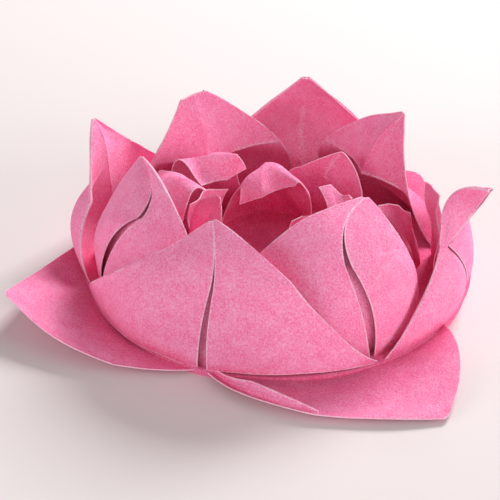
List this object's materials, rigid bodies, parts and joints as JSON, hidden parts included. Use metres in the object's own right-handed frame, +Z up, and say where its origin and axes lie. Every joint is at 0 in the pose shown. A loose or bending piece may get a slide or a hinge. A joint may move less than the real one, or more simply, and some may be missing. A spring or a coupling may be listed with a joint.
{
  "type": "origami lotus flower",
  "caption": "Lotus flower folded from one square of soft pink paper: slit petals in two rings, an open hollow in the middle and flat leaves below, resting on a flat underside.",
  "frame": {"origin": "middle of the flat underside, on the table", "axes": "+Z up out of the flower, -Y to the front of the flower as pictured, +X to its right"},
  "size_m": [0.097, 0.111, 0.0311],
  "materials": {
    "pink_paper": "soft matt, fibrous"
  },
  "bodies": {
    "root": {"folded_lotus": "pink_paper"}
  },
  "joints": []
}
